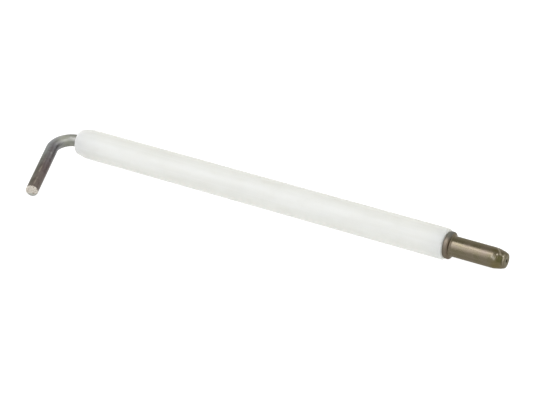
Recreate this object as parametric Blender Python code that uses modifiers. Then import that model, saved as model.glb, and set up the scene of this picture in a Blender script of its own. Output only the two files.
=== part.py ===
"""Flame sensor probe (ionisation electrode) for a gas burner.

A round heat-resistant rod runs through a white ceramic insulator. At the hot
end it turns through about 110 degrees and ends in a straight sensing leg. At the cold
end a flanged push-on terminal sleeve is crimped on it. Two rings of refractory
cement hold the rod in the insulator's bore. Nothing on it moves.

Frame: metres, +Z up. The probe lies on the plane z = 0 on its insulator and on
the tip of its leg. The insulator's axis is parallel to X, with the terminal
towards +X, and the leg points towards -Y and droops until its tip touches the
plane. The origin is the centre of the bounding box's bottom face.
"""
import math

import bmesh
import bpy
from mathutils import Euler, Matrix, Vector

MM = 0.001

# ---- driving dimensions --------------------------------------------------
# insulator tube
TUBE_D = 6.10 * MM
TUBE_LEN = 83.55 * MM
TUBE_BORE_D = 2.90 * MM
TUBE_RECESS_D = 3.50 * MM      # shallow recess at both ends, filled with cement
HOT_RECESS_DEPTH = 4.0 * MM
COLD_RECESS_DEPTH = 3.0 * MM
HOT_TAPER_LEN = 2.30 * MM      # soft taper that ends in the rounded hot end
HOT_TAPER_DROP = 0.39 * MM
HOT_EDGE_R = 0.60 * MM
COLD_EDGE_R = 0.40 * MM

# electrode rod
ROD_D = 2.50 * MM
ROD_EXIT = 0.45 * MM           # straight length between the tube's end and the bend
BEND_R = 3.64 * MM             # on the rod's centreline
BEND_DEG = 110.2               # the leg folds back a little past square
LEG_STRAIGHT = 15.75 * MM      # from the end of the bend to the leg's end face
ROD_END_BEVEL = 0.14 * MM
ROD_IN_TERMINAL = 10.75 * MM   # how far the rod runs on past the tube's cold end

# terminal sleeve
PIN_D = 4.00 * MM
FLANGE_D = 5.34 * MM
FLANGE_T = 1.03 * MM
FLANGE_BACK_R = 0.30 * MM
FLANGE_EDGE_R = 0.20 * MM
FLANGE_FILLET_R = 0.42 * MM
BARREL_END = 10.00 * MM        # from the flange's back to where the nose starts
NOSE_MID = 11.45 * MM          # the nose narrows faster from here on
NOSE_MID_D = 3.40 * MM
TERMINAL_LEN = 12.17 * MM
NOSE_END_D = 2.80 * MM
NOSE_EDGE_R = 0.28 * MM
NOSE_HOLE_D = 0.60 * MM
NOSE_WALL = 0.92 * MM
SLEEVE_BORE_D = 2.66 * MM
TERMINAL_GAP = 0.05 * MM       # between the tube's end face and the flange
CRIMP_AT = 11.10 * MM          # crimp dents' centre, from the flange's back
CRIMP_LEN = 1.50 * MM          # of the punch that makes a dent
CRIMP_WIDTH = 3.00 * MM
CRIMP_DEPTH = 0.30 * MM
CRIMP_TILT_DEG = 30.0          # dents' direction, up from -Y

# cement rings
CEMENT_GAP = 0.03 * MM
CEMENT_SET_BACK = 0.12 * MM

TUBE_STEPS = 48
PIN_STEPS = 48
CEMENT_STEPS = 32
ROD_BEVEL_RESOLUTION = 10      # 24 sides
BEND_SEGMENTS = 16

# ---- derived -------------------------------------------------------------
TUBE_R = TUBE_D / 2
ROD_R = ROD_D / 2
BEND = math.radians(BEND_DEG)
# the leg's end, as (back from the bend's start along -X, out from the tube's axis)
LEG_BACK = BEND_R * math.sin(BEND) + LEG_STRAIGHT * math.cos(BEND)
LEG_OUT = BEND_R * (1 - math.cos(BEND)) + LEG_STRAIGHT * math.sin(BEND)
_a = LEG_OUT - ROD_END_BEVEL * math.sin(BEND)
# the droop that brings the lowest edge of the leg's tip down to z = 0
DROOP = math.asin(TUBE_R / math.hypot(_a, ROD_R)) - math.atan2(ROD_R, _a)
X_LOW = -(ROD_EXIT + BEND_R + ROD_R)
X_HIGH = TUBE_LEN + TERMINAL_GAP + TERMINAL_LEN
# the leg's end face leans by the fold-back, so its outermost edge is on its hot side
_lean = abs(math.cos(BEND))
Y_LOW = -(LEG_OUT + (ROD_R - ROD_END_BEVEL) * math.hypot(_lean, math.sin(BEND) * math.tan(DROOP))) * math.cos(DROOP)
Y_HIGH = TUBE_R
# the tube's hot end, on its axis, in the part's frame
HOT_END = Vector((-(X_LOW + X_HIGH) / 2, -(Y_LOW + Y_HIGH) / 2, TUBE_R))


def clear_scene():
    for ob in list(bpy.data.objects):
        bpy.data.objects.remove(ob, do_unlink=True)
    for coll in list(bpy.data.collections):
        bpy.data.collections.remove(coll)


def new_collection(name):
    coll = bpy.data.collections.new(name)
    bpy.context.scene.collection.children.link(coll)
    return coll


def material(name, colour, roughness, metallic):
    mat = bpy.data.materials.new(name)
    mat.use_nodes = True
    bsdf = mat.node_tree.nodes["Principled BSDF"]
    bsdf.inputs["Base Color"].default_value = (*colour, 1.0)
    bsdf.inputs["Roughness"].default_value = roughness
    bsdf.inputs["Metallic"].default_value = metallic
    return mat


def fillet_loop(corners):
    """Round the corners of a closed (r, z) loop.

    Each corner is (r, z, radius, segments). A radius of 0 keeps the corner
    sharp; both convex and concave corners are rounded with a true arc.
    """
    out = []
    n = len(corners)
    for i, (r, z, rad, seg) in enumerate(corners):
        p = Vector((r, z))
        if rad <= 0:
            out.append(p)
            continue
        a = (Vector(corners[i - 1][:2]) - p).normalized()
        b = (Vector(corners[(i + 1) % n][:2]) - p).normalized()
        half = a.angle(b) / 2
        cut = rad / math.tan(half)
        centre = p + (a + b).normalized() * (rad / math.sin(half))
        start = p + a * cut - centre
        end = p + b * cut - centre
        sweep = math.atan2(start.x * end.y - start.y * end.x, start.dot(end))
        for k in range(seg + 1):
            t = sweep * k / seg
            out.append(centre + Vector((start.x * math.cos(t) - start.y * math.sin(t),
                                        start.x * math.sin(t) + start.y * math.cos(t))))
    return out


def turned(name, loop, steps, mat, coll, parent, at):
    """Turn a closed (r, z) loop about local Z, and lay local Z along the part's +X."""
    mesh = bpy.data.meshes.new(name)
    bm = bmesh.new()
    verts = [bm.verts.new((p.x, 0.0, p.y)) for p in loop]
    for i, v in enumerate(verts):
        bm.edges.new((v, verts[(i + 1) % len(verts)]))
    bm.to_mesh(mesh)
    bm.free()
    ob = bpy.data.objects.new(name, mesh)
    coll.objects.link(ob)
    mesh.materials.append(mat)
    screw = ob.modifiers.new("turn", "SCREW")
    screw.axis = "Z"
    screw.angle = math.tau
    screw.steps = steps
    screw.render_steps = steps
    screw.use_merge_vertices = True
    screw.merge_threshold = 1e-6
    screw.use_smooth_shade = True
    ob.parent = parent
    ob.location = (at, 0, 0)
    ob.rotation_euler = Euler((0, math.pi / 2, 0))
    return ob


def make_insulator(coll, parent):
    mat = material("white_glazed_ceramic", (0.83, 0.83, 0.79), 0.28, 0.0)
    recess_r = TUBE_RECESS_D / 2
    bore_r = TUBE_BORE_D / 2
    corners = [
        (TUBE_R, TUBE_LEN, COLD_EDGE_R, 4),
        (TUBE_R, HOT_TAPER_LEN, 6.0 * MM, 4),
        (TUBE_R - HOT_TAPER_DROP, 0.0, HOT_EDGE_R, 6),
        (recess_r, 0.0, 0, 0),
        (recess_r, HOT_RECESS_DEPTH, 0, 0),
        (bore_r, HOT_RECESS_DEPTH, 0, 0),
        (bore_r, TUBE_LEN - COLD_RECESS_DEPTH, 0, 0),
        (recess_r, TUBE_LEN - COLD_RECESS_DEPTH, 0, 0),
        (recess_r, TUBE_LEN, 0, 0),
    ]
    return turned("ceramic_insulator", fillet_loop(corners), TUBE_STEPS, mat, coll, parent, 0.0)


def make_cement(name, start, length, coll, parent, mat):
    """A ring of cement that fills an end recess around the rod."""
    outer = TUBE_RECESS_D / 2 - CEMENT_GAP
    inner = ROD_R + CEMENT_GAP
    corners = [
        (outer, length, 0, 0),
        (outer, 0.0, 0, 0),
        (inner, 0.0, 0, 0),
        (inner, length, 0, 0),
    ]
    return turned(name, fillet_loop(corners), CEMENT_STEPS, mat, coll, parent, start)


def make_terminal(coll, cutters, parent):
    mat = material("brown_nickel_plate", (0.36, 0.32, 0.26), 0.32, 1.0)
    pin_r = PIN_D / 2
    bore_r = SLEEVE_BORE_D / 2
    hole_r = NOSE_HOLE_D / 2
    throat = TERMINAL_LEN - NOSE_WALL
    corners = [
        (NOSE_END_D / 2, TERMINAL_LEN, NOSE_EDGE_R, 4),
        (NOSE_MID_D / 2, NOSE_MID, 2.0 * MM, 3),
        (pin_r, BARREL_END, 3.0 * MM, 3),
        (pin_r, FLANGE_T, FLANGE_FILLET_R, 5),
        (FLANGE_D / 2, FLANGE_T, FLANGE_EDGE_R, 4),
        (FLANGE_D / 2, 0.0, FLANGE_BACK_R, 4),
        (bore_r, 0.0, 0.25 * MM, 2),
        (bore_r, throat - 0.35 * MM, 0, 0),
        (hole_r, throat, 0, 0),
        (hole_r, TERMINAL_LEN, 0.10 * MM, 2),
    ]
    ob = turned("terminal_ferrule", fillet_loop(corners), PIN_STEPS, mat, coll, parent,
                TUBE_LEN + TERMINAL_GAP)
    # two opposed crimp dents in the nose's taper
    deep = 0.90 * MM
    surface_r = pin_r - (pin_r - NOSE_MID_D / 2) * (CRIMP_AT - BARREL_END) / (NOSE_MID - BARREL_END)
    tilt = math.radians(CRIMP_TILT_DEG)
    for k, sign in enumerate((1.0, -1.0)):
        outward = Vector((0.0, -math.cos(tilt), math.sin(tilt))) * sign
        mesh = bpy.data.meshes.new("crimp_cutter")
        bm = bmesh.new()
        bmesh.ops.create_uvsphere(bm, u_segments=20, v_segments=12, radius=1.0)
        bmesh.ops.scale(bm, vec=(CRIMP_LEN / 2, CRIMP_WIDTH / 2, deep), verts=bm.verts)
        bm.to_mesh(mesh)
        bm.free()
        cutter = bpy.data.objects.new(f"crimp_cutter_{k}", mesh)
        cutters.objects.link(cutter)
        cutter.parent = parent
        cutter.location = (Vector((TUBE_LEN + TERMINAL_GAP + CRIMP_AT, 0, 0))
                           + outward * (surface_r + deep - CRIMP_DEPTH))
        # local Z points outward and local X stays along the pin
        across = outward.cross(Vector((1, 0, 0)))
        basis = (Vector((1, 0, 0)), across, outward)
        cutter.rotation_euler = Matrix([[basis[c][r] for c in range(3)] for r in range(3)]).to_euler()
        cutter.hide_render = True
        cutter.display_type = "WIRE"
        cut = ob.modifiers.new(f"crimp_{k}", "BOOLEAN")
        cut.operation = "DIFFERENCE"
        cut.solver = "EXACT"
        cut.object = cutter
    return ob


def make_rod(coll, parent):
    """The bent rod: one poly spline with a round bevel and filled ends."""
    mat = material("heat_tinted_alloy", (0.24, 0.21, 0.20), 0.38, 1.0)
    along = Vector((-1.0, 0.0, 0.0))
    down_leg = Vector((0.0, -math.cos(DROOP), -math.sin(DROOP)))
    bend_start = Vector((-ROD_EXIT, 0.0, 0.0))
    centre = bend_start + down_leg * BEND_R
    points = [Vector((TUBE_LEN + TERMINAL_GAP + ROD_IN_TERMINAL, 0.0, 0.0))]
    for k in range(BEND_SEGMENTS + 1):
        t = BEND * k / BEND_SEGMENTS
        points.append(centre + along * (BEND_R * math.sin(t)) - down_leg * (BEND_R * math.cos(t)))
    points.append(bend_start + along * LEG_BACK + down_leg * LEG_OUT)
    curve = bpy.data.curves.new("electrode_rod", "CURVE")
    curve.dimensions = "3D"
    spline = curve.splines.new("POLY")
    spline.points.add(len(points) - 1)
    for sp, p in zip(spline.points, points):
        sp.co = (*p, 1.0)
    curve.bevel_depth = ROD_R
    curve.bevel_resolution = ROD_BEVEL_RESOLUTION
    curve.use_fill_caps = True
    curve.materials.append(mat)
    ob = bpy.data.objects.new("electrode_rod", curve)
    coll.objects.link(ob)
    ob.parent = parent
    weld = ob.modifiers.new("weld_caps", "WELD")
    weld.merge_threshold = 1e-6
    bevel = ob.modifiers.new("end_bevel", "BEVEL")
    bevel.width = ROD_END_BEVEL
    bevel.segments = 2
    bevel.limit_method = "ANGLE"
    bevel.angle_limit = math.radians(50)
    bevel.use_clamp_overlap = False
    return ob


def main():
    clear_scene()
    parts = new_collection("flame_sensor_probe")
    cutters = new_collection("cutters")
    anchor = bpy.data.objects.new("tube_axis_at_hot_end", None)
    anchor.empty_display_size = 0.01
    anchor.location = HOT_END
    parts.objects.link(anchor)
    make_insulator(parts, anchor)
    cement = material("refractory_cement", (0.72, 0.70, 0.64), 0.9, 0.0)
    make_cement("front_cement", CEMENT_SET_BACK,
                HOT_RECESS_DEPTH - CEMENT_SET_BACK - CEMENT_GAP, parts, anchor, cement)
    make_cement("rear_cement", TUBE_LEN - COLD_RECESS_DEPTH + CEMENT_GAP,
                COLD_RECESS_DEPTH - CEMENT_SET_BACK - CEMENT_GAP, parts, anchor, cement)
    make_rod(parts, anchor)
    make_terminal(parts, cutters, anchor)
    bpy.context.view_layer.update()


main()
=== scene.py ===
"""Looks of the flame sensor probe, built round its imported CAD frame.

Every piece is a fine mesh that stands for one CAD node: the bent wire with its
sheared tip, the glazed ceramic tube, the pressed terminal sleeve with its crimp
dents, and the two rings of cement. Nothing moves, so all of them ride on root.
"""

import math

import bmesh
import bpy
import numpy as np
from mathutils import Matrix, Vector, noise


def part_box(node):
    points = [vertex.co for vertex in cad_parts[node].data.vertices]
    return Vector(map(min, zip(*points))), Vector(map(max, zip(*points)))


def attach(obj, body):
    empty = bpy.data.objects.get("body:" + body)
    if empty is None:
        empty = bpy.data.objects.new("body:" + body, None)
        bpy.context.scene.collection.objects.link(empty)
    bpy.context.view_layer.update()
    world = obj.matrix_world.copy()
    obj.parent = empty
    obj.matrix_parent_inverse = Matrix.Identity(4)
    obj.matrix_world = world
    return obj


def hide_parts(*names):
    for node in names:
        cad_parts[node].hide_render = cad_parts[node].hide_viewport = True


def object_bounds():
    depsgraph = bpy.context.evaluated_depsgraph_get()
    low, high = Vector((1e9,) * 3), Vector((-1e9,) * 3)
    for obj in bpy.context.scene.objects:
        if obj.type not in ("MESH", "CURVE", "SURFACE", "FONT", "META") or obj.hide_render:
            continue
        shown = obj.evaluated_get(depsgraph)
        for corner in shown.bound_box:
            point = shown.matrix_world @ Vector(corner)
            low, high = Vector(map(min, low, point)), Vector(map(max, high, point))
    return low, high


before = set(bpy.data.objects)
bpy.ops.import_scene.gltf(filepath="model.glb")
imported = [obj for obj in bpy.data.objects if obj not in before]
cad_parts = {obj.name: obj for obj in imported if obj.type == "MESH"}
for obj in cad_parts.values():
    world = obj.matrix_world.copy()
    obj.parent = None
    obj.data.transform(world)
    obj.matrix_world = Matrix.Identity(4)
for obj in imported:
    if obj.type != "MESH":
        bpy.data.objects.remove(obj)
CAD_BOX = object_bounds()
MM = 0.001

# ---- where things are, from the CAD ---------------------------------------
tube_lo, tube_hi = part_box("ceramic_insulator")
pin_lo, pin_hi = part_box("terminal_ferrule")
front_lo, front_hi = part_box("front_cement")
rear_lo, rear_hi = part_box("rear_cement")

HOT = Vector((tube_lo.x, (tube_lo.y + tube_hi.y) / 2, (tube_lo.z + tube_hi.z) / 2))
TUBE_R = (tube_hi.z - tube_lo.z) / 2
TUBE_LEN = tube_hi.x - tube_lo.x
PIN_START = pin_lo.x - HOT.x
TERMINAL_LEN = pin_hi.x - pin_lo.x
FLANGE_R = (pin_hi.z - pin_lo.z) / 2
FRONT = (front_lo.x - HOT.x, front_hi.x - HOT.x)
REAR = (rear_lo.x - HOT.x, rear_hi.x - HOT.x)
CEMENT_R = (front_hi.z - front_lo.z) / 2

# the sizes that the boxes don't show, as the CAD source has them
BORE_R = 1.45 * MM
RECESS_R = 1.75 * MM
HOT_RECESS = 4.0 * MM
COLD_RECESS = 3.0 * MM
HOT_TAPER_LEN = 2.30 * MM
HOT_TAPER_DROP = 0.39 * MM
ROD_R = 1.25 * MM
ROD_EXIT = 0.45 * MM
BEND_R = 3.64 * MM
BEND = math.radians(110.2)
LEG_STRAIGHT = 15.75 * MM
ROD_IN_TERMINAL = 10.75 * MM
PIN_R = 2.00 * MM
FLANGE_T = 1.03 * MM
BARREL_END = 10.00 * MM
NOSE_MID = 11.45 * MM
NOSE_MID_R = 1.70 * MM
NOSE_END_R = 1.40 * MM
SLEEVE_BORE_R = 1.33 * MM
NOSE_HOLE_R = 0.30 * MM
NOSE_WALL = 0.92 * MM
CRIMP_AT = 11.10 * MM
CRIMP_TILT = math.radians(30.0)
LEG_OUT = BEND_R * (1 - math.cos(BEND)) + LEG_STRAIGHT * math.sin(BEND)
_a = LEG_OUT - 0.14 * MM * math.sin(BEND)
DROOP = math.asin(TUBE_R / math.hypot(_a, ROD_R)) - math.atan2(ROD_R, _a)


# ---- small tools -----------------------------------------------------------
def smooth(t):
    t = min(1.0, max(0.0, t))
    return t * t * (3 - 2 * t)


def fillet_loop(corners, closed=True):
    """Points (u, r) along straight runs and true arcs.

    A corner is (u, r, radius, arc segments, spacing up to the next corner).
    """
    n = len(corners)
    runs = []
    for i, (u, r, rad, seg, _) in enumerate(corners):
        p = Vector((u, r))
        if rad <= 0:
            runs.append([p])
            continue
        a = (Vector(corners[i - 1][:2]) - p).normalized()
        b = (Vector(corners[(i + 1) % n][:2]) - p).normalized()
        half = a.angle(b) / 2
        centre = p + (a + b).normalized() * (rad / math.sin(half))
        start = p + a * (rad / math.tan(half)) - centre
        end = p + b * (rad / math.tan(half)) - centre
        sweep = math.atan2(start.x * end.y - start.y * end.x, start.dot(end))
        runs.append([centre + Vector((start.x * math.cos(sweep * k / seg) - start.y * math.sin(sweep * k / seg),
                                      start.x * math.sin(sweep * k / seg) + start.y * math.cos(sweep * k / seg)))
                     for k in range(seg + 1)])
    out = []
    for i in range(n):
        out.extend(runs[i])
        if not closed and i == n - 1:
            break
        a, b = runs[i][-1], runs[(i + 1) % n][0]
        gap = (b - a).length
        count = int(gap / corners[i][4]) if corners[i][4] > 0 else 0
        for k in range(1, count + 1):
            out.append(a.lerp(b, k / (count + 1)))
    return out


def finish_mesh(name, verts, faces, materials, attributes, sharp=50.0, face_mat=None):
    mesh = bpy.data.meshes.new(name)
    mesh.from_pydata([tuple(v) for v in verts], [], faces)
    for m in materials:
        mesh.materials.append(m)
    if face_mat is not None:
        mesh.polygons.foreach_set("material_index", face_mat)
    bm = bmesh.new()
    bm.from_mesh(mesh)
    bmesh.ops.recalc_face_normals(bm, faces=bm.faces[:])
    bm.to_mesh(mesh)
    bm.free()
    mesh.polygons.foreach_set("use_smooth", [True] * len(mesh.polygons))
    mesh.set_sharp_from_angle(angle=math.radians(sharp))
    for key, values in attributes.items():
        values = np.asarray(values, np.float32)
        if values.ndim == 2:
            mesh.attributes.new(key, "FLOAT_VECTOR", "POINT").data.foreach_set("vector", values.ravel())
        else:
            mesh.attributes.new(key, "FLOAT", "POINT").data.foreach_set("value", values)
    mesh.update()
    ob = bpy.data.objects.new(name, mesh)
    bpy.context.scene.collection.objects.link(ob)
    return ob


def lathe(name, loop, steps, start, materials, shape=None, marks=None, sharp=50.0, more=None):
    """Turn a closed (u, r) loop round the tube's axis, u from `start` along +X.

    shape(u, r, angle) gives the point's own (u, r), and marks(u, r, angle) what
    its material can read. The angle goes up from -Y.
    """
    verts, lay, extra = [], [], []
    named = {key: [] for key in (more or {})}
    for k in range(steps):
        ang = math.tau * k / steps
        for p in loop:
            u, r = (p.x, p.y) if shape is None else shape(p.x, p.y, ang)
            verts.append((HOT.x + start + u, HOT.y - r * math.cos(ang), HOT.z + r * math.sin(ang)))
            lay.append((p.x, p.y * math.cos(ang), p.y * math.sin(ang)))
            extra.append(marks(p.x, p.y, ang) if marks else 0.0)
            for key, fn in (more or {}).items():
                named[key].append(fn(p.x, p.y, ang))
    n = len(loop)
    faces = []
    for k in range(steps):
        a, b = k * n, ((k + 1) % steps) * n
        for i in range(n):
            j = (i + 1) % n
            faces.append((a + i, a + j, b + j, b + i))
    return finish_mesh(name, verts, faces, materials, {"lay": lay, "mark": extra, **named}, sharp)


# ---- material tools ----------------------------------------------------------
class Tree:
    """A material's node tree, with a short way to add nodes."""

    def __init__(self, name):
        self.material = bpy.data.materials.new(name)
        self.material.use_nodes = True
        self.tree = self.material.node_tree
        self.bsdf = self.tree.nodes["Principled BSDF"]

    def node(self, kind, inputs=None, **settings):
        n = self.tree.nodes.new(kind)
        for k, v in settings.items():
            setattr(n, k, v)
        for k, v in (inputs or {}).items():
            self.set(n.inputs[k], v)
        return n

    def set(self, socket, value):
        if isinstance(value, bpy.types.NodeSocket):
            self.tree.links.new(value, socket)
        elif isinstance(value, bpy.types.Node):
            self.tree.links.new(value.outputs[0], socket)
        else:
            socket.default_value = value

    def attribute(self, name, vector=False):
        n = self.node("ShaderNodeAttribute", attribute_name=name)
        return n.outputs["Vector"] if vector else n.outputs["Fac"]

    def stretched(self, source, scale, location=(0, 0, 0)):
        return self.node("ShaderNodeMapping", {"Vector": source, "Scale": scale, "Location": location}).outputs[0]

    def noise(self, vector, detail=3.0, rough=0.55, scale=1.0, distortion=0.0):
        n = self.node("ShaderNodeTexNoise", {"Vector": vector, "Scale": scale, "Detail": detail,
                                             "Roughness": rough, "Distortion": distortion})
        return n.outputs["Fac"]

    def cells(self, vector, scale=1.0, feature="F1"):
        return self.node("ShaderNodeTexVoronoi", {"Vector": vector, "Scale": scale}, feature=feature).outputs["Distance"]

    def span(self, value, lo, hi, to_lo=0.0, to_hi=1.0):
        n = self.node("ShaderNodeMapRange", {0: value, 1: lo, 2: hi, 3: to_lo, 4: to_hi}, interpolation_type="SMOOTHSTEP")
        return n.outputs[0]

    def ramp(self, value, stops):
        n = self.node("ShaderNodeValToRGB", {"Fac": value})
        els = n.color_ramp.elements
        while len(els) < len(stops):
            els.new(0.5)
        for e, (pos, col) in zip(els, stops):
            e.position = pos
            e.color = (*col, 1.0)
        return n.outputs["Color"]

    def mix(self, factor, a, b, blend="MIX"):
        n = self.tree.nodes.new("ShaderNodeMix")
        n.data_type = "RGBA"
        n.blend_type = blend
        self.set(n.inputs[0], factor)
        for socket, v in ((n.inputs[6], a), (n.inputs[7], b)):
            self.set(socket, (*v, 1.0) if isinstance(v, tuple) and len(v) == 3 else v)
        return n.outputs[2]

    def math(self, op, a, b=0.0, clamp=False):
        return self.node("ShaderNodeMath", {0: a, 1: b}, operation=op, use_clamp=clamp).outputs[0]

    def bump(self, height, distance, strength=1.0, normal=None):
        inputs = {"Height": height, "Distance": distance, "Strength": strength}
        if normal is not None:
            inputs["Normal"] = normal
        return self.node("ShaderNodeBump", inputs).outputs[0]

    def out(self, **sockets):
        for k, v in sockets.items():
            self.set(self.bsdf.inputs[k.replace("_", " ")], v)
        return self.material


def ceramic_material():
    """White technical ceramic under a thin matt glaze."""
    t = Tree("glazed_ceramic")
    lay = t.attribute("lay", vector=True)
    drift = t.noise(t.stretched(lay, (60, 260, 260)), 3.0, 0.5)
    cloud = t.noise(t.stretched(lay, (330, 330, 330), (3, 1, 7)), 4.0, 0.6)
    drawn = t.noise(t.stretched(lay, (14, 1900, 1900), (5, 2, 0)), 3.0, 0.6)
    speck = t.cells(t.stretched(lay, (520, 520, 520)))
    colour = t.mix(t.span(drift, 0.35, 0.65), (0.506, 0.510, 0.466), (0.527, 0.532, 0.490))
    colour = t.mix(t.span(cloud, 0.42, 0.72, 0.0, 0.45), colour, (0.492, 0.494, 0.446))
    colour = t.mix(t.span(drawn, 0.45, 0.75, 0.0, 0.30), colour, (0.565, 0.572, 0.541))
    colour = t.mix(t.span(speck, 0.055, 0.02, 0.0, 0.30), colour, (0.42, 0.38, 0.31))
    # painted shade: a faint darker line along the hot end's rounding, and a darker bore
    colour = t.mix(t.attribute("mark"), colour, (0.49, 0.478, 0.436))
    rough = t.span(cloud, 0.3, 0.7, 0.46, 0.58)
    fine = t.noise(t.stretched(lay, (2600, 2600, 2600)), 3.0, 0.55)
    height = t.math("ADD", t.math("MULTIPLY", cloud, 2.2), t.math("MULTIPLY", fine, 0.6))
    return t.out(Base_Color=colour, Roughness=rough, Metallic=0.0, Specular_IOR_Level=0.24,
                 Coat_Weight=0.20, Coat_Roughness=0.08,
                 Subsurface_Weight=0.9, Subsurface_Radius=(1.0, 0.95, 0.88), Subsurface_Scale=0.0090,
                 Normal=t.bump(height, 0.000007))


def cement_material():
    """Refractory cement: sandy, matt, unevenly cured."""
    t = Tree("refractory_cement")
    co = t.node("ShaderNodeTexCoord").outputs["Object"]
    grain = t.noise(t.stretched(co, (5200, 5200, 5200)), 4.0, 0.7)
    lump = t.noise(t.stretched(co, (900, 900, 900)), 3.0, 0.6)
    sand = t.cells(t.stretched(co, (6500, 6500, 6500)))
    colour = t.ramp(lump, [(0.30, (0.40, 0.365, 0.30)), (0.52, (0.55, 0.52, 0.45)), (0.75, (0.66, 0.63, 0.56))])
    colour = t.mix(t.span(grain, 0.55, 0.75, 0.0, 0.5), colour, (0.30, 0.27, 0.22))
    height = t.math("ADD", grain, t.math("MULTIPLY", sand, 0.6))
    return t.out(Base_Color=colour, Roughness=t.span(grain, 0.3, 0.7, 0.82, 0.96), Metallic=0.0,
                 Normal=t.bump(height, 0.00004))


def wire_material():
    """Heat-tinted iron-chromium-aluminium wire with drawn streaks."""
    t = Tree("heat_tinted_wire")
    lay = t.attribute("lay", vector=True)
    side = t.attribute("mark")
    line = t.attribute("line")
    streak = t.noise(t.stretched(lay, (45, 1500, 1500)), 4.0, 0.62)
    fine = t.noise(t.stretched(lay, (130, 5200, 5200), (2, 5, 9)), 3.0, 0.6)
    patch = t.noise(t.stretched(lay, (300, 520, 520), (8, 3, 1)), 4.0, 0.6, distortion=0.6)
    speck = t.noise(t.stretched(lay, (2400, 2600, 2600), (1, 4, 2)), 2.0, 0.5)
    # heat tint along the wire: olive grey by the ceramic, violet grey in the bend, brown on the leg; in the bend the
    # upper ramp is also painted lighter and the lower one darker, as painted light and shade
    run = t.node("ShaderNodeSeparateXYZ", {0: lay}).outputs["X"]
    run = t.node("ShaderNodeMapRange", {0: run, 1: 0.0, 2: 0.024}).outputs[0]
    run = t.math("ADD", run, t.math("MULTIPLY", t.math("SUBTRACT", patch, 0.5), 0.16), clamp=True)
    upper = t.ramp(run, [(0.0, (0.222, 0.224, 0.196)), (0.05, (0.262, 0.265, 0.237)), (0.09, (0.288, 0.292, 0.262)),
                         (0.14, (0.385, 0.392, 0.348)), (0.19, (0.380, 0.385, 0.354)), (0.245, (0.330, 0.335, 0.335)),
                         (0.31, (0.282, 0.292, 0.292)), (0.40, (0.226, 0.240, 0.226)), (0.52, (0.208, 0.209, 0.189)),
                         (0.64, (0.150, 0.148, 0.126)), (0.77, (0.168, 0.160, 0.134)), (0.89, (0.152, 0.139, 0.113)),
                         (1.0, (0.160, 0.143, 0.116))])
    lower = t.ramp(run, [(0.0, (0.222, 0.226, 0.192)), (0.09, (0.252, 0.257, 0.222)), (0.14, (0.215, 0.220, 0.186)),
                         (0.19, (0.220, 0.223, 0.204)), (0.245, (0.268, 0.268, 0.270)), (0.31, (0.212, 0.208, 0.218)),
                         (0.40, (0.190, 0.184, 0.190)), (0.52, (0.164, 0.146, 0.150)), (0.64, (0.134, 0.103, 0.101)),
                         (0.77, (0.162, 0.133, 0.124)), (0.89, (0.154, 0.126, 0.110)), (1.0, (0.158, 0.131, 0.115))])
    side = t.math("ADD", side, t.math("MULTIPLY", t.math("SUBTRACT", patch, 0.5), 0.8), clamp=True)
    colour = t.mix(side, upper, lower)
    colour = t.mix(t.span(fine, 0.54, 0.76, 0.0, 0.32), colour, (0.270, 0.255, 0.232))
    colour = t.mix(t.span(streak, 0.46, 0.30, 0.0, 0.38), colour, (0.070, 0.067, 0.056))
    # painted sheen along the bend's crown, and a small bright nick on the leg
    colour = t.mix(t.attribute("painted_sheen_and_nick"), colour, (0.62, 0.63, 0.585))
    stain = t.noise(t.stretched(lay, (520, 700, 700), (4, 9, 2)), 3.0, 0.6)
    stained = t.math("MULTIPLY", t.span(stain, 0.52, 0.62, 0.0, 0.40), t.span(run, 0.30, 0.42))
    stained = t.math("ADD", stained, t.math("MULTIPLY", t.attribute("stain"), t.span(fine, 0.25, 0.55, 0.45, 1.0)), clamp=True)
    colour = t.mix(stained, colour, t.mix(side, (0.078, 0.082, 0.050), (0.094, 0.070, 0.068)))
    broken = t.noise(t.stretched(lay, (900, 900, 900), (1, 1, 5)), 2.0, 0.5)
    colour = t.mix(t.math("MULTIPLY", line, t.span(broken, 0.36, 0.58, 0.15, 1.0)), colour, (0.330, 0.288, 0.240))
    colour = t.mix(t.span(speck, 0.70, 0.80, 0.0, 0.6), colour, (0.40, 0.39, 0.36))
    rough = t.math("ADD", t.span(patch, 0.3, 0.7, 0.30, 0.44), t.math("MULTIPLY", fine, 0.10))
    height = t.math("ADD", t.math("MULTIPLY", streak, 1.6), t.math("ADD", fine, t.math("MULTIPLY", speck, 0.4)))
    return t.out(Base_Color=colour, Roughness=rough, Metallic=1.0, Specular_Tint=(0.64, 0.635, 0.63, 1.0),
                 Normal=t.bump(height, 0.000010))


def sheared_material():
    """The wire's cut end: bright torn metal with small pits."""
    t = Tree("sheared_wire_end")
    lay = t.attribute("lay", vector=True)
    co = t.node("ShaderNodeTexCoord").outputs["Object"]
    torn = t.noise(t.stretched(co, (2300, 2300, 2300)), 5.0, 0.68)
    pits = t.noise(t.stretched(co, (3900, 3900, 3900), (3, 3, 3)), 2.0, 0.5)
    rolled = t.attribute("mark")
    colour = t.mix(t.span(torn, 0.38, 0.66), (0.390, 0.362, 0.308), (0.520, 0.490, 0.428))
    colour = t.mix(rolled, colour, (0.330, 0.336, 0.298))
    colour = t.mix(t.span(pits, 0.55, 0.64, 0.0, 0.95), colour, (0.235, 0.188, 0.150))
    height = t.math("ADD", torn, t.math("MULTIPLY", pits, -0.7))
    return t.out(Base_Color=colour, Roughness=t.span(torn, 0.3, 0.7, 0.48, 0.66), Metallic=0.35,
                 Normal=t.bump(height, 0.00003))


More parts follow.
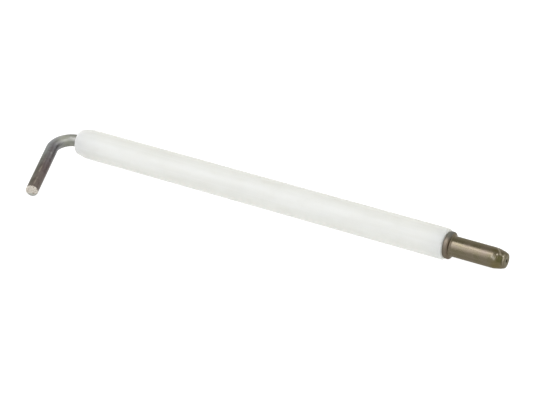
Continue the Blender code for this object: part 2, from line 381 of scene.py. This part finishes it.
def sleeve_material():
    """Dull nickel plate on the pressed sleeve, tarnished brown and olive, with painted highlights and painted shade
    round the crimp and the flange.
    """
    t = Tree("dull_nickel_plate")
    lay = t.attribute("lay", vector=True)
    tarnish = t.attribute("mark")
    cloud = t.noise(t.stretched(lay, (420, 620, 620)), 4.0, 0.6, distortion=0.4)
    drawn = t.noise(t.stretched(lay, (90, 2600, 2600), (4, 4, 4)), 3.0, 0.6)
    fine = t.noise(t.stretched(lay, (3200, 3200, 3200)), 3.0, 0.6)
    colour = t.ramp(cloud, [(0.30, (0.112, 0.100, 0.059)), (0.48, (0.128, 0.110, 0.073)), (0.70, (0.144, 0.119, 0.090))])
    colour = t.mix(t.span(drawn, 0.46, 0.76, 0.0, 0.40), colour, (0.190, 0.168, 0.132))
    colour = t.mix(t.span(drawn, 0.44, 0.28, 0.0, 0.35), colour, (0.088, 0.076, 0.048))
    rim = t.attribute("rim")
    # the rim's tint turns lighter and cooler towards the top, a painted reflection
    rim_tint = t.ramp(rim, [(0.0, (0.142, 0.120, 0.094)), (0.74, (0.142, 0.120, 0.094)), (1.0, (0.148, 0.151, 0.138))])
    colour = t.mix(t.math("MULTIPLY", rim, 0.9), colour, rim_tint)
    # olive tarnish round the dents, with painted shade in the dents and along the dark band above them
    colour = t.mix(t.attribute("olive"), colour, (0.122, 0.101, 0.046))
    # painted shade on the dents' floors and on the dark band above them
    painted_dent_shade = t.attribute("painted_dent_shade")
    colour = t.mix(t.math("MULTIPLY", painted_dent_shade, 0.9), colour, (0.078, 0.072, 0.030))
    colour = t.mix(tarnish, colour, (0.132, 0.094, 0.066))
    # painted shade darkening the nose's end face and its hole
    colour = t.mix(t.attribute("painted_end_shade"), colour, (0.136, 0.121, 0.082))
    # painted highlights beside the dents, on the nose, along the crest and on the flange's rim
    colour = t.mix(t.attribute("painted_highlight"), colour, (0.430, 0.395, 0.315))
    rough = t.math("ADD", t.span(cloud, 0.3, 0.7, 0.20, 0.30), t.math("MULTIPLY", fine, 0.07))
    rough = t.math("ADD", rough, t.math("MULTIPLY", rim, 0.22))
    rough = t.math("ADD", rough, t.math("MULTIPLY", painted_dent_shade, 0.16))
    height = t.math("ADD", t.math("MULTIPLY", drawn, 0.8), t.math("MULTIPLY", fine, 0.7))
    return t.out(Base_Color=colour, Roughness=rough, Metallic=1.0, Specular_Tint=(0.72, 0.70, 0.65, 1.0),
                 Normal=t.bump(height, 0.000006))


# ---- the pieces --------------------------------------------------------------
def make_insulator():
    loop = fillet_loop([
        (TUBE_LEN, TUBE_R, 0.42 * MM, 10, 0.9 * MM),
        (HOT_TAPER_LEN, TUBE_R, 6.0 * MM, 12, 0.12 * MM),
        (0.0, TUBE_R - HOT_TAPER_DROP, 0.60 * MM, 14, 0.12 * MM),
        (0.0, RECESS_R, 0.10 * MM, 4, 0.5 * MM),
        (HOT_RECESS, RECESS_R, 0, 0, 0),
        (HOT_RECESS, BORE_R, 0, 0, 4 * MM),
        (TUBE_LEN - COLD_RECESS, BORE_R, 0, 0, 0),
        (TUBE_LEN - COLD_RECESS, RECESS_R, 0, 0, 0.5 * MM),
        (TUBE_LEN, RECESS_R, 0.10 * MM, 4, 0.12 * MM),
    ])

    def shape(u, r, ang):
        if r < RECESS_R + 0.02 * MM:
            return u, r
        hot = smooth(1 - u / (3.0 * MM))
        # the hot end was dressed by hand: its rounding is a little uneven
        uneven = 0.035 * math.sin(ang + 0.7) + 0.02 * math.sin(2 * ang - 0.5) + 0.012 * math.sin(5 * ang + 2.0)
        r2 = r + hot * (uneven - 0.03) * MM * smooth((r - RECESS_R) / (0.9 * MM))
        u2 = u + smooth(1 - u / (0.8 * MM)) * 0.03 * MM * (1 + math.sin(3 * ang + 1.1))
        wave = noise.noise(Vector((u / (9 * MM), math.cos(ang) * 1.2, math.sin(ang) * 1.2)))
        r2 += 0.010 * MM * (wave - 0.6) * smooth(u / (4 * MM))
        return u2, min(r2, TUBE_R)

    def marks(u, r, ang):
        # painted shade: a faint darker line along the hot end's edge rounding, and a darker bore
        if r < RECESS_R + 0.02 * MM:
            return 0.35
        edge = math.exp(-((u - 0.55 * MM) / (0.42 * MM)) ** 2)
        broken = 0.55 + 0.45 * noise.noise(Vector((ang * 1.7, u * 900, 4.0)))
        return 0.40 * edge * broken

    ob = lathe("insulator_tube", loop, 144, 0.0, [CERAMIC], shape, marks)
    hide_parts("ceramic_insulator")
    return ob


def make_cement(name, node, start, end, outward):
    """A ring of cement: sandy and slightly heaped up against the wire on its open face."""
    inner, outer = ROD_R + 0.02 * MM, CEMENT_R
    length = end - start
    steps = 96
    rings = 9
    loop = []
    for i in range(rings + 1):            # the open face, from the outside in
        loop.append(Vector((0.0, outer + (inner - outer) * i / rings)))
    for k in range(1, 5):
        loop.append(Vector((length * k / 5, inner)))
    loop.append(Vector((length, inner)))
    loop.append(Vector((length, outer)))
    for k in range(4, 0, -1):
        loop.append(Vector((length * k / 5, outer)))

    def shape(u, r, ang):
        t = (r - inner) / (outer - inner)
        if u > 1e-9:
            return (u if outward < 0 else length - u), r
        grit = noise.noise(Vector((math.cos(ang) * r / (0.16 * MM), math.sin(ang) * r / (0.16 * MM), 1.7 * outward)))
        lump = noise.noise(Vector((math.cos(ang) * r / (0.7 * MM), math.sin(ang) * r / (0.7 * MM), 5.0 + outward)))
        heap = 0.10 * (1 - t) ** 2 + 0.02 * t
        if outward > 0:
            heap *= 0.3
        inset = -(heap + 0.030 * grit + 0.045 * lump - 0.02) * MM * (1 if 0.001 < t < 0.999 else 0.4)
        inset = max(inset, -0.10 * MM if outward < 0 else -0.04 * MM)
        return (inset if outward < 0 else length - inset), r

    ob = lathe(name, loop, steps, start, [CEMENT], shape)
    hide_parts(node)
    return ob


def make_sleeve():
    throat = TERMINAL_LEN - NOSE_WALL
    loop = fillet_loop([
        (TERMINAL_LEN, NOSE_END_R, 0.36 * MM, 14, 0.05 * MM),
        (NOSE_MID, NOSE_MID_R, 2.0 * MM, 8, 0.06 * MM),
        (BARREL_END, PIN_R, 3.0 * MM, 12, 0.22 * MM),
        (FLANGE_T, PIN_R, 0.42 * MM, 12, 0.05 * MM),
        (FLANGE_T, FLANGE_R, 0.32 * MM, 12, 0.06 * MM),
        (0.0, FLANGE_R, 0.24 * MM, 12, 0.06 * MM),
        (0.0, SLEEVE_BORE_R, 0.25 * MM, 6, 1.0 * MM),
        (throat - 0.35 * MM, SLEEVE_BORE_R, 0, 0, 0.1 * MM),
        (throat, NOSE_HOLE_R, 0, 0, 0.2 * MM),
        (TERMINAL_LEN, NOSE_HOLE_R, 0.12 * MM, 8, 0.06 * MM),
    ])

    def dent(u, r, ang):
        """How far the crimp pushes the outside in, for the nearer of two opposed dents."""
        depth = 0.0
        for centre in (CRIMP_TILT, CRIMP_TILT + math.pi):
            d = (ang - centre + math.pi) % math.tau - math.pi
            across = d * r / (1.05 * MM) if d > 0 else -d * r / (1.75 * MM)
            along = (u - CRIMP_AT - 0.02 * MM) / (0.66 * MM)
            # a punched pocket with steep ends, and a wide shallow draw round it
            pocket = (1 - smooth((abs(along) - 0.55) / 0.50)) * (1 - smooth((across - 0.50) / 0.55))
            draw = math.exp(-(along / 1.9) ** 2 - (across / 1.25) ** 2)
            lip = math.exp(-((along + 1.15) / 0.30) ** 2 - (across / 0.85) ** 2)
            depth += 0.27 * pocket + 0.055 * draw - 0.035 * lip - 0.040 * crest(u, r, math.degrees(d))
        return depth * MM

    def crest(u, r, deg):
        """The raised edge that runs from the pocket's upper corner back over the top of the nose."""
        best = 9.0
        for (u0, a0), (u1, a1) in (((10.00, 74.0), (10.60, 57.0)), ((10.60, 57.0), (11.26, 33.0))):
            x, y = u / MM, math.radians(deg) * 1.85
            ax, ay, bx, by = u0, math.radians(a0) * 1.85, u1, math.radians(a1) * 1.85
            t = min(1.0, max(0.0, ((x - ax) * (bx - ax) + (y - ay) * (by - ay)) / ((bx - ax) ** 2 + (by - ay) ** 2)))
            best = min(best, math.hypot(x - ax - t * (bx - ax), y - ay - t * (by - ay)))
        return math.exp(-(best / 0.13) ** 2)

    def shape(u, r, ang):
        if r < SLEEVE_BORE_R + 0.01 * MM and u < TERMINAL_LEN - 0.05 * MM:
            return u, r
        inner = smooth((r - NOSE_HOLE_R) / (0.9 * MM))
        r2 = r - dent(u, r, ang) * inner
        if u > TERMINAL_LEN - 0.45 * MM and r > NOSE_HOLE_R + 0.02 * MM:
            # the end face is slightly dished, and its rim isn't quite even
            u -= 0.05 * MM * (1 - smooth((r - NOSE_HOLE_R) / (0.75 * MM))) * smooth((u - TERMINAL_LEN + 0.45 * MM) / (0.4 * MM))
            u -= 0.03 * MM * (1 + math.sin(2 * ang + 0.4)) / 2 * smooth((u - TERMINAL_LEN + 0.45 * MM) / (0.4 * MM))
        if u < FLANGE_T + 0.1 * MM and r > PIN_R + 0.3 * MM:
            r2 -= 0.018 * MM * (1 + math.sin(2 * ang + 1.0)) / 2
        return u, r2

    def marks(u, r, ang):
        # brown tarnish in the fillet under the flange and on the flange's front edge
        fillet = math.exp(-((u - FLANGE_T - 0.10 * MM) / (0.17 * MM)) ** 2) * (1 - smooth((r - PIN_R - 0.38 * MM) / (0.15 * MM)))
        edge = math.exp(-((u - FLANGE_T + 0.10 * MM) / (0.16 * MM)) ** 2) * smooth((r - PIN_R - 0.2 * MM) / (0.3 * MM))
        broken = 0.62 + 0.38 * noise.noise(Vector((ang * 2.1, u * 1500, 1.0)))
        # it is reddest on the sides, and hardly shows on top
        sides = 1 - 0.85 * smooth((math.sin(ang) - 0.62) / 0.30)
        return min(1.0, max(0.0, (0.62 * fillet + 0.85 * edge) * broken * sides))

    def olive(u, r, ang):
        # olive tarnish round the dents, darkened in the dents and along the dark band above them as painted shade
        if r < SLEEVE_BORE_R + 0.05 * MM:
            return 0.0
        total = 0.0
        for centre in (CRIMP_TILT, CRIMP_TILT + math.pi):
            d = math.degrees((ang - centre + math.pi) % math.tau - math.pi)
            total += 1.1 * math.exp(-((u / MM - 10.65) / 0.95) ** 2 - ((d + 40) / 34) ** 2)
            total += 0.7 * math.exp(-((u / MM - 11.15) / 0.60) ** 2 - ((d - 5) / 28) ** 2)
            total += 0.9 * math.exp(-((u / MM - 9.9) / 0.8) ** 2 - ((d - 46) / 12) ** 2)
        patch = noise.noise(Vector((u / (0.8 * MM), math.cos(ang) * 1.6, math.sin(ang) * 1.6)))
        return min(1.0, max(0.0, 0.85 * total * (1 + 0.35 * patch)))

    def painted_dent_shade(u, r, ang):
        # painted shade: the dents' floors, and a patch of the dark band above them, painted darker
        if r < SLEEVE_BORE_R + 0.05 * MM:
            return 0.0
        total = 0.0
        for centre in (CRIMP_TILT, CRIMP_TILT + math.pi):
            d = math.degrees((ang - centre + math.pi) % math.tau - math.pi)
            along = 1 - smooth((abs(u / MM - 11.19 - 0.002 * d) - 0.38) / 0.20)
            total += along * (1 - smooth((d - 18) / 16)) * (1 - smooth((-d - 12) / 24))
            total += 0.55 * math.exp(-((u / MM - 9.95) / 0.55) ** 2 - ((d - 44) / 9) ** 2)
        return min(1.0, total)

    def painted_highlight(u, r, ang):
        # painted highlights: bright spots beside the dents, on the nose past them, along the crest and on the flange's
        # rim
        if r < SLEEVE_BORE_R + 0.05 * MM:
            return 0.0
        total = 0.0
        for centre in (CRIMP_TILT, CRIMP_TILT + math.pi):
            d = math.degrees((ang - centre + math.pi) % math.tau - math.pi)
            for u0, a0, su, sa, level in ((10.56, 26.0, 0.11, 5.0, 0.85), (11.80, 36.0, 0.17, 12.0, 0.85),
                                          (11.90, 2.0, 0.15, 30.0, 0.28), (0.28, 50.0, 0.30, 16.0, 0.16)):
                total += level * math.exp(-((u / MM - u0) / su) ** 2 - ((d - a0) / sa) ** 2)
            total += 0.55 * crest(u + 0.05 * MM, r, d)
            # a painted reflection of the light, sagging towards the dent where the metal was drawn in
            t = min(1.0, max(0.0, (u / MM - 9.15) / 1.15))
            off = math.hypot((d - 12 + 15 * t) / 9.0, (u / MM - min(10.3, max(9.15, u / MM))) / 0.16)
            total += 0.52 * smooth((t - 0.34) * 3.5) * math.exp(-off ** 2)
        return min(1.0, total)

    def painted_end_shade(u, r, ang):
        # painted shade darkening the nose's end face and its hole
        return smooth((u - TERMINAL_LEN + 0.16 * MM) / (0.12 * MM)) * (1 - smooth((r - 1.12 * MM) / (0.16 * MM)))

    def rim(u, r, ang):
        # the flange's rim is duller; towards the top it is painted lighter and cooler, as a painted reflection
        top = 0.72 + 0.28 * smooth((math.degrees(ang) - 45) / 35) * smooth((150 - math.degrees(ang)) / 35)
        return top * smooth((r - PIN_R - 0.3 * MM) / (0.25 * MM)) * (1 - smooth((u - FLANGE_T + 0.05 * MM) / (0.2 * MM)))

    ob = lathe("terminal_sleeve", loop, 160, PIN_START, [SLEEVE], shape, marks, sharp=40.0,
               more={"olive": olive, "painted_highlight": painted_highlight, "painted_dent_shade": painted_dent_shade, "painted_end_shade": painted_end_shade, "rim": rim})
    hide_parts("terminal_ferrule")
    return ob


def make_wire():
    """The bent wire as one swept mesh, from inside the sleeve to the sheared tip."""
    along = Vector((-1.0, 0.0, 0.0))
    out = Vector((0.0, -math.cos(DROOP), -math.sin(DROOP)))
    side = along.cross(out)               # normal of the bend's plane
    bend_start = HOT + along * ROD_EXIT
    centre = bend_start + out * BEND_R
    # stations: (point, tangent, length along the wire from the ceramic)
    stations = []
    inside = TUBE_LEN + (PIN_START - TUBE_LEN) + ROD_IN_TERMINAL
    for d in [inside, inside - 0.12 * MM] + [inside * k / 24 for k in range(23, 0, -1)] + [0.6 * MM, 0.0]:
        stations.append((HOT - along * d, along, -d))
    stations.append((HOT + along * ROD_EXIT * 0.5, along, ROD_EXIT * 0.5))
    turns = 56
    for k in range(turns + 1):
        a = BEND * k / turns
        p = centre + along * (BEND_R * math.sin(a)) - out * (BEND_R * math.cos(a))
        tangent = along * math.cos(a) + out * math.sin(a)
        stations.append((p, tangent, ROD_EXIT + BEND_R * a))
    leg = along * math.cos(BEND) + out * math.sin(BEND)
    bend_end = stations[-1][0]
    s_bend = ROD_EXIT + BEND_R * BEND
    count = 64
    last = LEG_STRAIGHT - 0.16 * MM
    for k in range(1, count + 1):
        d = last * k / count
        stations.append((bend_end + leg * d, leg, s_bend + d))
    tip = bend_end + leg * LEG_STRAIGHT
    s_tip = s_bend + LEG_STRAIGHT

    sides = 72
    verts, lay, mark, line, painted_sheen_and_nick, stain, faces, face_mat = [], [], [], [], [], [], [], []

    def frame_at(tangent):
        return side, tangent.cross(side).normalized()      # e1 across the plane, e2 towards the inside of the bend

    def side_at(s, a):
        """1 on the tube's side of the leg, where the tint is violet and the bend is painted darker, and 0 on its outer
        side.
        """
        middle = -72 - 60 * (1 - smooth((s / MM - 0.45) / 8.5))
        return smooth((0.5 + 0.5 * math.cos(a - math.radians(middle)) - 0.42) / 0.42)

    def line_at(s, a):
        """A few light drawn lines along the leg."""
        total = 0.0
        for where, lo, hi, width, level in ((-13.0, 15.0, 19.4, 7.0, 1.0), (-11.0, 12.0, 16.0, 6.0, 0.35), (-22.0, 18.2, 23.5, 6.0, 0.70),
                                            (38.0, 15.0, 21.0, 5.0, 0.35), (-96.0, 9.5, 17.0, 7.0, 0.5),
                                            (150.0, 10.0, 20.0, 6.0, 0.7), (205.0, 12.0, 22.0, 5.0, 0.5)):
            d = (math.degrees(a) - where - 0.8 * (s / MM - 16) + 180) % 360 - 180
            ends = smooth((s / MM - lo) / 2.0) * smooth((hi - s / MM) / 2.0)
            total += level * ends * math.exp(-(d / width) ** 2)
        return min(1.0, total)

    def ring(p, tangent, s, radius, oval=0.0):
        e1, e2 = frame_at(tangent)
        base = len(verts)
        for k in range(sides):
            a = math.tau * k / sides
            wob = noise.noise(Vector((s / (2.2 * MM), math.cos(a) * 0.9, math.sin(a) * 0.9)))
            r = radius * (1 + oval * math.cos(2 * a)) + (0.006 * MM * (wob - 0.7) if s > 0 else 0.0)
            verts.append(p + e1 * (r * math.cos(a)) + e2 * (r * math.sin(a)))
            lay.append((s, radius * math.cos(a), radius * math.sin(a)))
            mark.append(side_at(s, a))
            line.append(line_at(s, a))
            painted_sheen_and_nick.append(painted_sheen_and_nick_at(s, a))
            stain.append(stain_at(s, a))
        return base

    def join(a, b, material=0):
        for k in range(sides):
            j = (k + 1) % sides
            faces.append((a + k, a + j, b + j, b + k))
            face_mat.append(material)

    def painted_sheen_and_nick_at(s, a):
        """A painted sheen along the bend's visible crown, and a small bright nick on the leg."""
        s = s / MM
        keys = (1.2, 2.0, 3.3, 4.6, 5.9, 7.2)
        level = np.interp(s, keys, (0.0, 0.13, 0.27, 0.44, 0.14, 0.0))
        middle = np.interp(s, keys, (-57, -56, -46, -34, -42, -40))
        width = np.interp(s, keys, (13, 13, 17, 22, 16, 15))
        d = (math.degrees(a) - middle + 180) % 360 - 180
        # and a small bright nick on the leg, past the bend
        nick = (math.degrees(a) + 42 + 180) % 360 - 180
        return float(level * math.exp(-(d / width) ** 2) + 0.42 * math.exp(-(nick / 9.0) ** 2 - ((s - 10.4) / 0.30) ** 2))

    def stain_at(s, a):
        """Dark olive smudges on the leg's outer side."""
        total = 0.0
        for s0, a0, ls, la, level in ((12.1, 12.0, 0.9, 13.0, 0.60), (15.9, 2.0, 1.1, 11.0, 0.60), (21.2, 16.0, 0.9, 14.0, 0.60),
                                      (18.6, 20.0, 0.8, 10.0, 0.35), (13.5, 175.0, 1.6, 16.0, 0.5), (18.5, 140.0, 1.2, 12.0, 0.5)):
            d = (math.degrees(a) - a0 + 180) % 360 - 180
            total += level * math.exp(-((s / MM - s0) / ls) ** 2 - (d / la) ** 2)
        return min(1.0, total)

    # the far end, inside the sleeve
    verts.append(stations[0][0])
    lay.append((stations[0][2], 0, 0))
    mark.append(0.3)
    line.append(0.0)
    painted_sheen_and_nick.append(0.0)
    stain.append(0.0)
    first = None
    previous = None
    for i, (p, tangent, s) in enumerate(stations):
        oval = 0.0
        if ROD_EXIT < s < s_bend:
            t = (s - ROD_EXIT) / (s_bend - ROD_EXIT)
            oval = 0.016 * math.sin(math.pi * t)
        base = ring(p, tangent, s, ROD_R - (0.12 * MM if i == 0 else 0.0), oval)
        if previous is not None:
            join(previous, base)
        else:
            first = base
        previous = base
    for k in range(sides):
        faces.append((0, first + (k + 1) % sides, first + k))
        face_mat.append(0)

    # the sheared tip: a rolled edge along its lower side, torn metal above, and a burr at the top
    e1, e2 = frame_at(leg)
    down = Vector((0, 0, -1.0))
    down = (down - leg * down.dot(leg)).normalized()
    right = leg.cross(down).normalized()

    def tip_ring(t, material, rim=False):
        """t is the share of the radius; the depth below the tip's plane comes from the shear."""
        base = len(verts)
        for k in range(sides):
            a = math.tau * k / sides
            d = e1 * math.cos(a) + e2 * math.sin(a)
            low = d.dot(down) * t            # 1 at the lower edge, -1 at the top
            roll = 0.15 * smooth((low - 0.25) / 0.80) ** 1.5
            edge = 0.13 * (1 - math.sqrt(max(0.0, 1 - ((t - 0.90) / 0.10) ** 2))) if t > 0.90 else 0.0
            top = smooth((-low - 0.72) / 0.22) * math.exp(-((d.dot(right) + 0.12) / 0.28) ** 2)
            q = d * (t * ROD_R)
            torn = noise.noise(Vector((q.dot(e1) / (0.34 * MM), q.dot(e2) / (0.34 * MM), 3.3)))
            fine = noise.noise(Vector((q.dot(e1) / (0.12 * MM), q.dot(e2) / (0.12 * MM), 8.1)))
            rough = (0.022 * torn + 0.008 * fine) * (1 - smooth((low - 0.25) / 0.3)) * (1.0 if t < 0.95 else 0.4)
            depth = roll + edge - rough - 0.05 * top + 0.03
            verts.append(tip + q - leg * (depth * MM))
            lay.append((s_tip - depth * MM, q.dot(e1), q.dot(e2)))
            mark.append(smooth((low - 0.30) / 0.22))
            line.append(0.0)
            painted_sheen_and_nick.append(0.0)
            stain.append(0.0)
        return base

    levels = [1.0, 0.992, 0.975, 0.95, 0.92, 0.88, 0.82, 0.75, 0.67, 0.58, 0.48, 0.38, 0.27, 0.16, 0.07]
    for n, t in enumerate(levels):
        base = tip_ring(t, 1)
        join(previous, base, 1 if n > 0 else 0)
        previous = base
    verts.append(tip - leg * (0.03 * MM))
    lay.append((s_tip, 0, 0))
    mark.append(0.0)
    line.append(0.0)
    painted_sheen_and_nick.append(0.0)
    stain.append(0.0)
    c = len(verts) - 1
    for k in range(sides):
        faces.append((previous + k, previous + (k + 1) % sides, c))
        face_mat.append(1)

    ob = finish_mesh("electrode_wire", verts, faces, [WIRE, SHEARED],
                     {"lay": lay, "mark": mark, "line": line, "painted_sheen_and_nick": painted_sheen_and_nick, "stain": stain}, 60.0, face_mat)
    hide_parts("electrode_rod")
    return ob


CERAMIC = ceramic_material()
CEMENT = cement_material()
WIRE = wire_material()
SHEARED = sheared_material()
SLEEVE = sleeve_material()

for piece in (make_insulator(),
              make_cement("hot_end_cement", "front_cement", FRONT[0], FRONT[1], -1),
              make_cement("cold_end_cement", "rear_cement", REAR[0], REAR[1], 1),
              make_sleeve(),
              make_wire()):
    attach(piece, "root")


# ---- stage, light and camera ---------------------------------------------------
def make_floor():
    mesh = bpy.data.meshes.new("studio_floor")
    half, n = 6.0, 8
    verts = [(-half + 2 * half * i / n, -half + 2 * half * j / n, -0.00002) for j in range(n + 1) for i in range(n + 1)]
    faces = [(j * (n + 1) + i, j * (n + 1) + i + 1, (j + 1) * (n + 1) + i + 1, (j + 1) * (n + 1) + i)
             for j in range(n) for i in range(n)]
    mesh.from_pydata(verts, [], faces)
    t = Tree("studio_paper")
    co = t.node("ShaderNodeTexCoord").outputs["Object"]
    soft = t.noise(t.stretched(co, (2.0, 2.0, 2.0)), 2.0, 0.5)
    mesh.materials.append(t.out(Base_Color=t.mix(soft, (0.19, 0.19, 0.19), (0.21, 0.21, 0.21)), Roughness=0.9,
                                Specular_IOR_Level=0.0, Emission_Color=(1.0, 1.0, 1.0, 1.0), Emission_Strength=0.95))
    ob = bpy.data.objects.new("studio_floor", mesh)
    bpy.context.scene.collection.objects.link(ob)


def softbox(name, toward, distance, size, size_y, radiance, colour=(1, 1, 1)):
    """A rectangular lamp in direction `toward` from the object's middle, facing it."""
    lamp = bpy.data.lights.new(name, "AREA")
    lamp.shape = "RECTANGLE"
    lamp.size, lamp.size_y = size, size_y
    lamp.energy = radiance * math.pi * size * size_y      # watts for that radiance
    lamp.color = colour
    ob = bpy.data.objects.new(name, lamp)
    bpy.context.scene.collection.objects.link(ob)
    lo, hi = CAD_BOX
    aim = (lo + hi) / 2
    d = Vector(toward).normalized()
    ob.location = aim + d * distance
    ob.rotation_mode = "QUATERNION"
    ob.rotation_quaternion = (-d).to_track_quat("-Z", "Y")
    return ob


make_floor()
world = bpy.data.worlds.new("studio")
bpy.context.scene.world = world
world.use_nodes = True
wt = world.node_tree
sky = wt.nodes.new("ShaderNodeTexCoord")
split = wt.nodes.new("ShaderNodeSeparateXYZ")
fade = wt.nodes.new("ShaderNodeValToRGB")
wt.links.new(sky.outputs["Generated"], split.inputs[0])
wt.links.new(split.outputs["Z"], fade.inputs["Fac"])
wt.links.new(fade.outputs["Color"], wt.nodes["Background"].inputs["Color"])
while len(fade.color_ramp.elements) < 6:
    fade.color_ramp.elements.new(0.5)
for stop, (height, colour) in zip(fade.color_ramp.elements, (
        (0.0, (1.0, 1.0, 1.0)), (0.35, (1.02, 1.02, 1.02)), (0.52, (1.06, 1.07, 1.10)),
        (0.70, (0.84, 0.84, 0.82)), (0.84, (0.65, 0.635, 0.55)), (1.0, (0.62, 0.61, 0.52)))):
    stop.position = height
    stop.color = (*colour, 1.0)
wt.nodes["Background"].inputs["Strength"].default_value = 1.12


def toward(beta_deg):
    """A direction in which the plain round parts mirror a lamp to the camera."""
    b = math.radians(beta_deg)
    return (-0.436, -0.9 * math.cos(b), 0.9 * math.sin(b))


softbox("front_softbox", toward(41), 0.95, 0.50, 1.05, 2.35, (1.0, 0.98, 1.12))
softbox("front_softbox_upper", toward(65), 0.91, 0.32, 0.56, 3.8, (1.0, 1.0, 1.14))
softbox("side_softbox", (0.72, -0.42, 0.55), 0.65, 0.40, 0.40, 1.6)

PHI, THETA = math.radians(29.9903), math.radians(29.2643)
right = Vector((math.cos(PHI), math.sin(PHI), 0))
forward = Vector((-math.sin(PHI) * math.cos(THETA), math.cos(PHI) * math.cos(THETA), -math.sin(THETA)))
up = right.cross(forward)
cam_data = bpy.data.cameras.new("camera")
cam = bpy.data.objects.new("camera", cam_data)
bpy.context.scene.collection.objects.link(cam)
cam_data.sensor_width = 36.0
cam_data.lens = 134.8315
cam_data.clip_start, cam_data.clip_end = 0.02, 40.0
where = HOT + Vector((0.21627058, -0.29784554, 0.19131737))
cam.matrix_world = Matrix(((right.x, up.x, -forward.x, where.x),
                           (right.y, up.y, -forward.y, where.y),
                           (right.z, up.z, -forward.z, where.z),
                           (0, 0, 0, 1)))
bpy.context.scene.camera = cam
bpy.context.scene.view_settings.view_transform = "Standard"

# ---- the end --------------------------------------------------------------------
bpy.context.view_layer.update()
